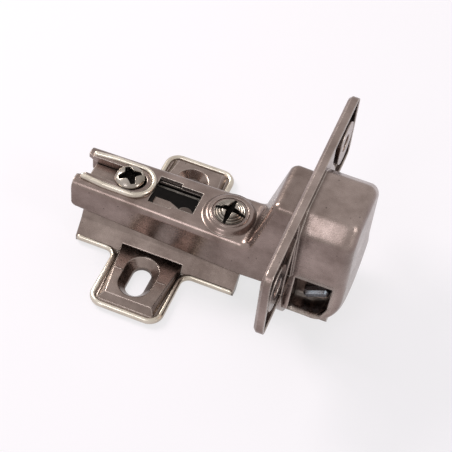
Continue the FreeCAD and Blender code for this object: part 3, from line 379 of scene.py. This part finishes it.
# Painted highlight: a lighter copy of the nickel for the rolled edges and the slot's rim, with less painted
# shade.
NICKEL_EDGE_LIT = PlatedSteel("nickel_edge_painted_highlight", "#D2C9BD", "#B2A799", "#191412", corner_shade_share=0.2,
                          shade_reach_mm=1.5)
NICKEL_PLATE = PlatedSteel("satin_nickel_plate", "#90817A", "#6F615B", "#14100E", roughness=0.26,
                           edge_mm=0.45, corner_shade_share=1.0, shade_reach_mm=4.5, inner_half_mm=4.15,
                           inner_high_mm=15.5)
NICKEL_SCREW = PlatedSteel("bright_nickel_screw", "#A59C94", "#7B7268", "#0A0807", roughness=0.2,
                           rough_spread=0.08, grain_mm=0.3, grain_height_mm=0.002, edge_mm=0.1,
                           corner_shade_share=1.0, pit_gate=0.9, has_depth_shade=True)
ZINC_PIN = PlatedSteel("bright_zinc_pin", "#A9B0B8", "#8E969F", "#202226", roughness=0.25,
                       rough_spread=0.08, grain_mm=0.3, grain_height_mm=0.002, edge_mm=0.1)
SPRING_STEEL = PlatedSteel("oiled_spring_steel", "#6E6C6B", "#5A5756", "#1D1B1A", rough_spread=0.1,
                           wear_highlight_share=0.2)


def smooth(t: np.ndarray) -> np.ndarray:
    """Eases 0..1 to 0..1 with level ends: three t squared less two t cubed, held outside that span."""
    held = np.clip(t, 0.0, 1.0)
    return held * held * (3.0 - 2.0 * held)


def skin(name: str, grid_mm: np.ndarray, finish: PlatedSteel, wrap_rows: bool = False,
         sunk: np.ndarray | None = None) -> bpy.types.Object:
    """Makes a closed mesh from a grid of points whose columns run round it.

    The quads join each row to the next and each column to the next, the last column to the first.
    Rows that shrink to one point are the poles, and their points are merged.

    Args:
        name: the piece's name.
        grid_mm: rows by columns by three coordinates.
        finish: the finish that dresses it.
        wrap_rows: whether the last row joins the first.
        sunk: how much painted shade each grid point gets from its depth in a drive, thread or crown groove,
            from 0 to 1.

    Returns:
        The object, linked to the scene, at the origin.
    """
    rows, columns = grid_mm.shape[:2]
    index = np.arange(rows * columns).reshape(rows, columns)
    if wrap_rows:
        index = np.vstack([index, index[:1]])
    index = np.hstack([index, index[:, :1]])
    corners = [index[:-1, :-1], index[1:, :-1], index[1:, 1:], index[:-1, 1:]]
    quads = np.stack(corners, axis=-1).reshape(-1, 4)
    mesh = bpy.data.meshes.new(name)
    mesh.from_pydata((grid_mm.reshape(-1, 3) * MM).tolist(), [], quads.tolist())
    if sunk is not None:
        layer = mesh.attributes.new(DEPTH_SHADE_ATTRIBUTE, "FLOAT", "POINT")
        layer.data.foreach_set("value", sunk.reshape(-1).astype(np.float32))
    work = bmesh.new()
    work.from_mesh(mesh)
    bmesh.ops.remove_doubles(work, verts=work.verts, dist=SAME_POINT)
    bmesh.ops.recalc_face_normals(work, faces=work.faces)
    work.to_mesh(mesh)
    work.free()
    mesh.polygons.foreach_set("use_smooth", [True] * len(mesh.polygons))
    mesh.update()
    piece = bpy.data.objects.new(name, mesh)
    bpy.context.scene.collection.objects.link(piece)
    piece.data.materials.append(finish.ready())
    LOG.info("built %s with %d faces", name, len(mesh.polygons))
    return piece


class Drive(Enum):
    """What the driver bites into on a screw's head."""

    POZI = "pozi"
    CROSS_SLOT = "cross slot"


@dataclass
class DrivenScrew:
    """A turned screw with its drive and its thread, on an upright axis."""

    name: str
    node: str
    body: str
    slot_name: str
    axis_x: float
    turn_deg: float
    drive: Drive
    arm_long: float
    arm_half: float
    deep: float
    crown: list[tuple[float, float]]
    shank: list[tuple[float, float]]
    thread_from: float
    thread_to: float
    thread_radius: float
    pitch: float = 0.8
    thread_deep: float = 0.22
    crown_ridges: int = 0
    ridge_high: float = 0.0
    columns: int = 176
    arm_root: float = 1.3
    arm_taper: float = 0.75
    wall: float = 0.3
    floor_rise: float = 0.3
    star_long: float = 0.55
    star_half: float = 0.5
    star_deep: float = 0.7
    star_wall: float = 0.22
    crown_step: float = 0.07
    thread_rows: int = 9
    run_out: float = 0.25
    least_metal: float = 0.05
    ridge_shade: float = 0.9
    ridge_sharp: float = 1.6
    thread_root_shade: float = 0.85
    full_shade_depth: float = 0.55

    def outline(self, corners: list[tuple[float, float]], step: float) -> np.ndarray:
        """Fills a profile with points.

        Args:
            corners: radius and height pairs.
            step: about how far apart the points lie.

        Returns:
            Rows of radius and height, each run cut into equal parts.
        """
        runs = []
        for a, b in zip(corners[:-1], corners[1:]):
            count = max(2, int(math.hypot(b[0] - a[0], b[1] - a[1]) / step))
            share = np.linspace(0.0, 1.0, count, endpoint=False)[:, None]
            runs.append(np.array(a) * (1 - share) + np.array(b) * share)
        runs.append(np.array([corners[-1]]))
        return np.vstack(runs)

    def bitten(self, across: np.ndarray, along: np.ndarray) -> np.ndarray:
        """Works out how far the drive is sunk at each point of the head.

        Each arm is a rectangle that narrows outwards. A point's depth eases from nothing at the arm's
        edge to full where the wall ends, and the floor rises towards the arm's tip. A pozi drive has
        four short arms more between them.

        Args:
            across: the points' first coordinate from the axis.
            along: the points' second coordinate from the axis.

        Returns:
            The depth at each point.
        """
        reach = np.hypot(across, along)
        depth = np.zeros_like(reach)
        for u, v in ((np.abs(across), np.abs(along)), (np.abs(along), np.abs(across))):
            half = self.arm_half * (self.arm_root - self.arm_taper * np.clip(u / self.arm_long, 0.0, 1.0))
            inside = np.minimum(self.arm_long - u, half - v)
            floor = 1.0 - self.floor_rise * smooth(u / self.arm_long)
            depth = np.maximum(depth, self.deep * floor * smooth(inside / self.wall))
        if self.drive is Drive.POZI:
            root = math.sqrt(0.5)
            p = np.abs((across + along) * root)
            q = np.abs((across - along) * root)
            for u, v in ((p, q), (q, p)):
                inside = np.minimum(self.arm_long * self.star_long - u, self.arm_half * self.star_half - v)
                depth = np.maximum(depth, self.deep * self.star_deep * smooth(inside / self.star_wall))
        return depth

    @staticmethod
    def wave(turns: np.ndarray) -> np.ndarray:
        """A triangle wave of a number of turns: 1 at each whole one, 0 half way between."""
        return np.abs((turns % 1.0) * 2.0 - 1.0)

    def build(self) -> bpy.types.Object:
        """Builds the screw: a profile turned about its axis, less the drive, with a ramped thread.

        A crown point lies at (r cos t, r sin t, z - drive depth). A thread point's radius is the
        thread's radius less its depth times a triangle wave of z / pitch - t / full turn. A crown
        with ridges has the same wave on its slope, over r in place of z.

        Returns:
            The piece, which replaces its CAD node and rides on the node's body.
        """
        turn = np.linspace(0.0, FULL_TURN, self.columns, endpoint=False)[None, :]
        top = self.outline(self.crown, self.crown_step)
        low = self.outline(self.shank, self.pitch / self.thread_rows)
        line = np.vstack([top, low[1:]])
        radius = line[:, :1] + 0.0 * turn
        height = line[:, 1:] + 0.0 * turn
        head = np.arange(len(line))[:, None] < len(top)
        groove = 0.0 * height
        if self.crown_ridges:
            first, last = self.crown[-3], self.crown[-2]
            share = (radius - first[0]) / (last[0] - first[0])
            slope = (share > 0.0) & (share < 1.0) & head
            wave = self.wave(share * self.crown_ridges - turn / FULL_TURN)
            height = height - np.where(slope, self.ridge_high * wave, 0.0)
            # Painted shade in the grooves between the crown's ridges.
            sharp = smooth((wave - 1.0) * self.ridge_sharp + 1.0)
            groove = np.where(slope, self.ridge_shade * sharp, 0.0)
        cut = (height < self.thread_to) & (height > self.thread_from)
        cut = cut & (np.abs(radius - self.thread_radius) < SAME_RADIUS_MM)
        wave = self.wave(height / self.pitch - turn / FULL_TURN)
        over = smooth((self.thread_to - height) / self.run_out)
        ends = over * smooth((height - self.thread_from) / self.run_out)
        radius = radius - np.where(cut, self.thread_deep * wave * ends, 0.0)
        aim = turn + math.radians(self.turn_deg)
        sunk = self.bitten(radius * np.cos(aim), radius * np.sin(aim))
        floor = self.crown[0][1] - self.deep - self.least_metal
        height = np.where(head, np.maximum(height - sunk, np.minimum(floor, height)), height)
        # Painted shade deep in the drive and in the thread's roots.
        depth_shade = np.where(head, smooth(sunk / (self.full_shade_depth * self.deep)), 0.0)
        depth_shade = np.maximum(depth_shade, np.where(cut, self.thread_root_shade * wave * ends, 0.0))
        grid = np.stack([self.axis_x + radius * np.cos(turn), radius * np.sin(turn), height], axis=-1)
        piece = skin(self.name, grid, NICKEL_SCREW, sunk=np.maximum(depth_shade, groove))
        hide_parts(self.node)
        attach(piece, self.body)
        return piece


def run(start: tuple[float, float], end: tuple[float, float], step: float = 0.5) -> np.ndarray:
    """Points about a step apart on a straight run from one plan point to another."""
    count = max(2, int(math.hypot(end[0] - start[0], end[1] - start[1]) / step))
    share = np.linspace(0.0, 1.0, count)[:, None]
    return np.array(start) * (1 - share) + np.array(end) * share


def arc(centre: tuple[float, float], radius: float, first_deg: float, last_deg: float,
        step_deg: float = 5.0) -> np.ndarray:
    """Points about a step apart on an arc in plan, from one bearing to another."""
    count = max(3, int(abs(last_deg - first_deg) / step_deg))
    swing = np.radians(np.linspace(first_deg, last_deg, count))
    return np.stack([centre[0] + radius * np.cos(swing), centre[1] + radius * np.sin(swing)], axis=-1)


def bead(path: np.ndarray, height: float, wide: float, high: float, end_long: float = 0.6,
         end_rows: int = 6, columns: int = 20) -> np.ndarray:
    """Carries a flat ellipse along a level path.

    A point lies at the path's point plus the path's normal times wide cos phi, and at the height
    plus high sin phi. Both half axes shrink as a quarter circle to a point at the path's ends.

    Args:
        path: plan points in millimetres.
        height: the ellipse's centre height.
        wide: half the bead's width.
        high: half the bead's height.
        end_long: how far from each end the shrinking starts.
        end_rows: how many rows the shrinking takes.
        columns: how many points go round.

    Returns:
        Rows of points along the path.
    """
    step = np.hypot(*np.diff(path, axis=0).T)
    travelled = np.concatenate([[0.0], np.cumsum(step)])
    extra = end_long * (1.0 - np.cos(np.linspace(0.0, math.pi / 2, end_rows)))
    places = np.unique(np.concatenate([travelled, extra, travelled[-1] - extra]))
    x = np.interp(places, travelled, path[:, 0])
    y = np.interp(places, travelled, path[:, 1])
    along = np.stack([np.gradient(x, places), np.gradient(y, places)], axis=-1)
    along = along / np.linalg.norm(along, axis=1, keepdims=True)
    share = np.clip(np.minimum(places, travelled[-1] - places) / end_long, 0.0, 1.0)
    size = np.sqrt(np.clip(1.0 - (1.0 - share) ** 2, 0.0, 1.0))[:, None]
    phi = np.linspace(0.0, FULL_TURN, columns, endpoint=False)[None, :]
    out = wide * size * np.cos(phi)
    return np.stack([x[:, None] - along[:, 1:] * out, y[:, None] + along[:, :1] * out,
                     height + high * size * np.sin(phi)], axis=-1)


@dataclass
class WingTrim:
    """The rolled edge round the plate's foot and wings, and the small ribs beside each slot."""

    foot_rear: float = -19.6
    foot_front: float = 22.1
    foot_half: float = 9.35
    wing_rear: float = -8.65
    wing_front: float = 8.85
    wing_half: float = 25.75
    corner: float = 2.95
    root: float = 2.85
    edge_z: float = 0.95
    edge_wide: float = 0.78
    edge_high: float = 0.82
    rib_y: float = 15.6
    rib_inner: float = 4.45
    rib_rear: float = -6.5
    rib_front: float = 7.0
    rib_wide: float = 0.28
    rib_high: float = 0.26
    rib_end: float = 0.3
    pad_z: float = 2.98

    def edge(self, side: int, name: str) -> bpy.types.Object:
        """Builds one side's edge: the foot, the hollow roots, the wing's sides and its round corners.

        Args:
            side: -1 for the near side and 1 for the far one.
            name: the piece's name.

        Returns:
            The edge.
        """
        inner = self.foot_half + self.root
        outer = self.wing_half - self.corner
        rear = self.wing_rear
        front = self.wing_front
        path = np.vstack([
            run((self.foot_rear, self.foot_half), (rear - self.root, self.foot_half)),
            arc((rear - self.root, inner), self.root, -90.0, 0.0)[1:],
            run((rear, inner), (rear, outer))[1:],
            arc((rear + self.corner, outer), self.corner, 180.0, 90.0)[1:],
            run((rear + self.corner, self.wing_half), (front - self.corner, self.wing_half))[1:],
            arc((front - self.corner, outer), self.corner, 90.0, 0.0)[1:],
            run((front, outer), (front, inner))[1:],
            arc((front + self.root, inner), self.root, 180.0, 270.0)[1:],
            run((front + self.root, self.foot_half), (self.foot_front, self.foot_half))[1:],
        ])
        path = path * np.array([1.0, side])
        return skin(name, bead(path, self.edge_z, self.edge_wide, self.edge_high), NICKEL_EDGE_LIT)

    def build(self) -> None:
        """Builds both edges and the four ribs, which ride on the plate."""
        made = []
        for side, word in ((-1, "near"), (1, "far")):
            made.append(self.edge(side, "wing_edge_" + word))
            for tip, place in ((self.rib_rear, "rear"), (self.rib_front, "front")):
                start = math.copysign(self.rib_inner, tip)
                path = run((start, side * self.rib_y), (tip, side * self.rib_y))
                grid = bead(path, self.pad_z, self.rib_wide, self.rib_high, self.rib_end)
                made.append(skin("pad_rib_" + word + "_" + place, grid, NICKEL_PLATE))
        for piece in made:
            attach(piece, "plate")


@dataclass
class ArmTrim:
    """The formed edges on the arm's top: the slot's rounded rim and the collar's lip and soft foot."""

    top: float = 17.4
    rear: float = -21.2
    mouth_half: float = 3.85
    mouth_end: float = -15.0
    end_centre: float = -8.3
    rim_half: float = 4.5
    rim_wide: float = 0.78
    rim_high: float = 1.1
    collar_x: float = 16.3
    collar_inner: float = 4.3
    collar_groove: float = 4.8
    collar_crest: float = 5.35
    collar_foot: float = 6.9
    collar_high: float = 1.05
    lip_high: float = 0.32
    groove_deep: float = 0.02
    buried: float = 0.25
    lip_rows: int = 13
    fall_rows: int = 30
    columns: int = 128

    def rim(self) -> bpy.types.Object:
        """Builds the U-shaped rim round the rear slot.

        A flat ellipse is carried in from the narrower mouth, along one straight side, round the half
        circle and back, and it shrinks to a point at both ends.

        Returns:
            The rim.
        """
        end = self.end_centre
        half = self.rim_half
        path = np.vstack([
            run((self.rear, self.mouth_half), (self.mouth_end, half)),
            run((self.mouth_end, half), (end, half))[1:],
            arc((end, 0.0), half, 90.0, -90.0)[1:],
            run((end, -half), (self.mouth_end, -half))[1:],
            run((self.mouth_end, -half), (self.rear, -self.mouth_half))[1:],
        ])
        grid = bead(path, self.top, self.rim_wide, self.rim_high)
        return skin("slot_rim", grid, NICKEL_EDGE_LIT)

    def collar(self) -> bpy.types.Object:
        """Builds the collar's lip, whose outside runs down to the sheet in a soft curve.

        Half a sine wave makes the thin lip round the bore. Past the groove the height stays level up to
        the crest, and falls outwards as half a cosine wave to the foot. The section closes under the
        sheet's face and is turned about z.

        Returns:
            The lip.
        """
        lip = np.linspace(0.0, 1.0, self.lip_rows)
        inner = self.collar_inner + (self.collar_groove - self.collar_inner) * lip
        rise = self.collar_high + self.lip_high * np.sin(math.pi * lip)
        outer = np.linspace(self.collar_groove, self.collar_foot, self.fall_rows)[1:]
        fall = np.clip((outer - self.collar_crest) / (self.collar_foot - self.collar_crest), 0.0, 1.0)
        drop = self.collar_high * (0.5 + 0.5 * np.cos(math.pi * fall)) - self.groove_deep
        radius = np.concatenate([inner, outer, [self.collar_foot, self.collar_inner]])
        height = self.top + np.concatenate([rise, drop, [-self.buried, -self.buried]])
        turn = np.linspace(0.0, FULL_TURN, self.columns, endpoint=False)[None, :]
        grid = np.stack([self.collar_x + radius[:, None] * np.cos(turn), radius[:, None] * np.sin(turn),
                         height[:, None] + 0.0 * turn], axis=-1)
        return skin("collar_lip", grid, NICKEL_ARM, wrap_rows=True)

    def build(self) -> None:
        """Builds the rim and the lip, and lets them ride on the arm."""
        for piece in (self.rim(), self.collar()):
            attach(piece, "arm")


@dataclass
class Screws:
    """The fixing screw at the rear slot and the side screw in the collar."""

    fixing: DrivenScrew = field(default_factory=lambda: DrivenScrew(
        name="fixing_screw_detailed", node="fixing_screw", body="fixing", slot_name="screw",
        axis_x=-9.8, turn_deg=-37.0, drive=Drive.POZI, arm_long=2.9, arm_half=1.05, deep=1.7,
        crown=[(0.0, 19.7), (1.2, 19.64), (2.2, 19.4), (2.9, 19.1), (3.35, 18.8), (3.62, 18.5),
               (3.7, 18.25), (3.66, 18.08), (3.6, 18.03)],
        shank=[(3.6, 18.03), (2.45, 18.03), (2.45, 9.9), (2.0, 9.6), (0.0, 9.6)],
        thread_from=9.9, thread_to=17.2, thread_radius=2.45))
    side: DrivenScrew = field(default_factory=lambda: DrivenScrew(
        name="side_screw_detailed", node="side_screw", body="side_adjuster", slot_name="screw",
        axis_x=16.3, turn_deg=2.0, drive=Drive.CROSS_SLOT, arm_long=4.6, arm_half=0.72, deep=1.0,
        crown=[(0.0, 20.0), (0.9, 19.98), (2.0, 19.72), (3.8, 18.75), (3.86, 18.56)],
        shank=[(3.86, 18.56), (3.38, 18.54), (3.38, 16.12), (1.68, 16.1), (1.68, 14.2), (2.8, 14.2),
               (2.8, 13.2), (0.0, 13.2)],
        thread_from=16.12, thread_to=18.5, thread_radius=3.38, crown_ridges=3, ridge_high=0.3))

    def build(self) -> None:
        """Builds both screws."""
        self.fixing.build()
        self.side.build()


@dataclass
class Dressing:
    """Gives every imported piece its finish."""

    finishes: dict[str, PlatedSteel] = field(default_factory=lambda: {
        "mounting_plate": NICKEL_PLATE,
        "hinge_arm": NICKEL_ARM,
        "hinge_cup": NICKEL_CUP,
        "fixing_screw": NICKEL_SCREW,
        "side_screw": NICKEL_SCREW,
        "outer_link": NICKEL_ARM,
        "inner_link": NICKEL_ARM,
        "arm_pin_outer": NICKEL_SCREW,
        "arm_pin_inner": NICKEL_SCREW,
        "cup_pin": ZINC_PIN,
        "cup_stub": ZINC_PIN,
        "closing_spring": SPRING_STEEL,
    })

    def dress(self, nodes: dict[str, bpy.types.Object]) -> None:
        """Puts one material on each node.

        Args:
            nodes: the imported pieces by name.
        """
        for name, finish in self.finishes.items():
            piece = nodes[name]
            piece.data.materials.clear()
            piece.data.materials.append(finish.ready())
            LOG.info("dressed %s in %s", name, finish.name)


@dataclass(frozen=True)
class Lamp:
    """One square lamp that faces the hinge."""

    name: str
    place_mm: tuple[float, float, float]
    size_mm: float
    watts: float
    tint: str

    def build(self, target_mm: tuple[float, float, float]) -> None:
        """Adds the lamp.

        Args:
            target_mm: the point it faces.
        """
        data = bpy.data.lights.new(self.name, "AREA")
        data.size = self.size_mm * MM
        data.energy = self.watts
        data.color = linear(self.tint)[:3]
        lamp = bpy.data.objects.new(self.name, data)
        bpy.context.scene.collection.objects.link(lamp)
        place = Vector(self.place_mm) * MM
        lamp.location = place
        aim = Vector(target_mm) * MM - place
        lamp.rotation_euler = aim.to_track_quat("-Z", "Y").to_euler()


@dataclass
class Studio:
    """The pale floor, the white surround, the soft lamps and the camera."""

    lamps: tuple[Lamp, ...] = (
        Lamp("key", (-380, 150, 330), 220, 2.6, "#FFFBF6"),
        Lamp("fill", (-95, -325, 400), 150, 0.34, "#FAFAFF"),
        Lamp("rim", (420, -60, 300), 140, 0.5, "#FFFFFF"),
    )
    floor_half: float = 0.9
    floor_drop_mm: float = 0.05
    floor_glow: float = 0.72
    paper: str = "#F3E5F3"
    white: str = "#FFFFFF"
    air: str = "#F4F0F6"
    air_span: tuple[float, float] = (0.1, 0.24)
    azimuth: float = 16.1033
    elevation: float = 50.5388
    roll: float = 7.0581
    shift_right_mm: float = 7.6897
    shift_up_mm: float = 0.1667
    distance_mm: float = 342.4622
    focal_px: float = 1400.0
    frame_px: float = 452.0
    target_mm: tuple[float, float, float] = (7.7, 0.0, 10.0)
    window_way: tuple[float, float, float] = (-0.1, 0.64, 0.762)
    window_span: tuple[float, float] = (0.8, 0.97)
    window_level: float = 1.05
    sensor_mm: float = 36.0
    nearest: float = 0.01
    farthest: float = 10.0

    @staticmethod
    def shown(tree: bpy.types.NodeTree) -> bpy.types.NodeSocket:
        """Picks the rays that show the background: the camera's, the glossy and the transmitted.

        Args:
            tree: the node tree that gets the nodes.

        Returns:
            1 for those rays and 0 for the others.
        """
        rays = add_node(tree, "ShaderNodeLightPath", {}, {}).outputs
        some = combine(tree, "MAXIMUM", rays["Is Camera Ray"], rays["Is Glossy Ray"])
        return combine(tree, "MAXIMUM", some, rays["Is Transmission Ray"])

    def floor(self) -> None:
        """Lays a plane under the hinge that shows nearly white and keeps the hinge's shadow."""
        half = self.floor_half
        mesh = bpy.data.meshes.new("floor")
        corners = [(-half, -half, 0), (half, -half, 0), (half, half, 0), (-half, half, 0)]
        mesh.from_pydata(corners, [], [(0, 1, 2, 3)])
        plane = bpy.data.objects.new("floor", mesh)
        bpy.context.scene.collection.objects.link(plane)
        plane.location.z = -self.floor_drop_mm * MM
        material = bpy.data.materials.new("paper_floor")
        material.use_nodes = True
        tree = material.node_tree
        tree.nodes.clear()
        paper = add_node(tree, "ShaderNodeBsdfDiffuse", {"in:Color": linear(self.paper)}, {}).outputs[0]
        glow = add_node(tree, "ShaderNodeEmission", {"in:Color": linear(self.white), "in:Strength": 1.0},
                        {}).outputs[0]
        share = combine(tree, "MULTIPLY", self.shown(tree), self.floor_glow)
        both = add_node(tree, "ShaderNodeMixShader", {}, {0: share, 1: paper, 2: glow}).outputs[0]
        add_node(tree, "ShaderNodeOutputMaterial", {}, {"Surface": both})
        mesh.materials.append(material)

    def surround(self) -> None:
        """Sets the world: white to the rays that show it, and to the others a soft room with a window."""
        world = bpy.data.worlds.new("surround")
        bpy.context.scene.world = world
        world.use_nodes = True
        tree = world.node_tree
        tree.nodes.clear()
        way = add_node(tree, "ShaderNodeTexCoord", {}, {}).outputs["Generated"]
        # The room is brighter above than at the sides.
        low = remap(tree, axes(tree, way)[2], (0.0, 1.0), self.air_span)
        # A broad soft window stands behind the hinge, half way up. It is full within 14 degrees of its
        # middle and gone at 37.
        toward = add_node(tree, "ShaderNodeVectorMath", {"operation": "DOT_PRODUCT", "in:1": self.window_way},
                          {0: way}).outputs["Value"]
        lit = remap(tree, toward, self.window_span, (0.0, self.window_level), "SMOOTHSTEP")
        room = add_node(tree, "ShaderNodeBackground", {"in:Color": linear(self.air)},
                        {"Strength": combine(tree, "ADD", low, lit)}).outputs[0]
        plain = add_node(tree, "ShaderNodeBackground", {"in:Color": linear(self.white), "in:Strength": 1.0},
                         {}).outputs[0]
        both = add_node(tree, "ShaderNodeMixShader", {}, {0: self.shown(tree), 1: room, 2: plain}).outputs[0]
        add_node(tree, "ShaderNodeOutputWorld", {}, {"Surface": both})

    def camera(self) -> None:
        """Sets the camera where the photograph's fitted view stands.

        The view looks back along (sin a cos e, -cos a cos e, sin e), rolled about that line.
        """
        azimuth = math.radians(self.azimuth)
        elevation = math.radians(self.elevation)
        roll = math.radians(self.roll)
        level = math.cos(elevation)
        back = Vector((math.sin(azimuth) * level, -math.cos(azimuth) * level, math.sin(elevation)))
        right = (-back).cross(Vector((0, 0, 1))).normalized()
        up = right.cross(-back)
        across = right * math.cos(roll) + up * math.sin(roll)
        upright = -right * math.sin(roll) + up * math.cos(roll)
        target = Vector(self.target_mm) + right * self.shift_right_mm + up * self.shift_up_mm
        place = (target + back * self.distance_mm) * MM
        data = bpy.data.cameras.new("camera")
        data.sensor_width = self.sensor_mm
        data.lens = self.focal_px / self.frame_px * self.sensor_mm
        data.clip_start = self.nearest
        data.clip_end = self.farthest
        camera = bpy.data.objects.new("camera", data)
        turn = Matrix((across, upright, back)).transposed()
        camera.matrix_world = Matrix.Translation(place) @ turn.to_4x4()
        bpy.context.scene.collection.objects.link(camera)
        bpy.context.scene.camera = camera

    def build(self) -> None:
        """Builds the whole studio."""
        self.floor()
        self.surround()
        for lamp in self.lamps:
            lamp.build(self.target_mm)
        self.camera()
        bpy.context.scene.view_settings.view_transform = "Standard"
        LOG.info("studio built")


def main() -> None:
    """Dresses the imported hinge, adds its details and the studio."""
    logging.basicConfig(level=logging.INFO)
    for spare in list(bpy.data.objects):
        bpy.data.objects.remove(spare)
    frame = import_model()
    Dressing().dress(frame["nodes"])
    WingTrim().build()
    ArmTrim().build()
    Screws().build()
    Studio().build()


if __name__ == "__main__":
    main()
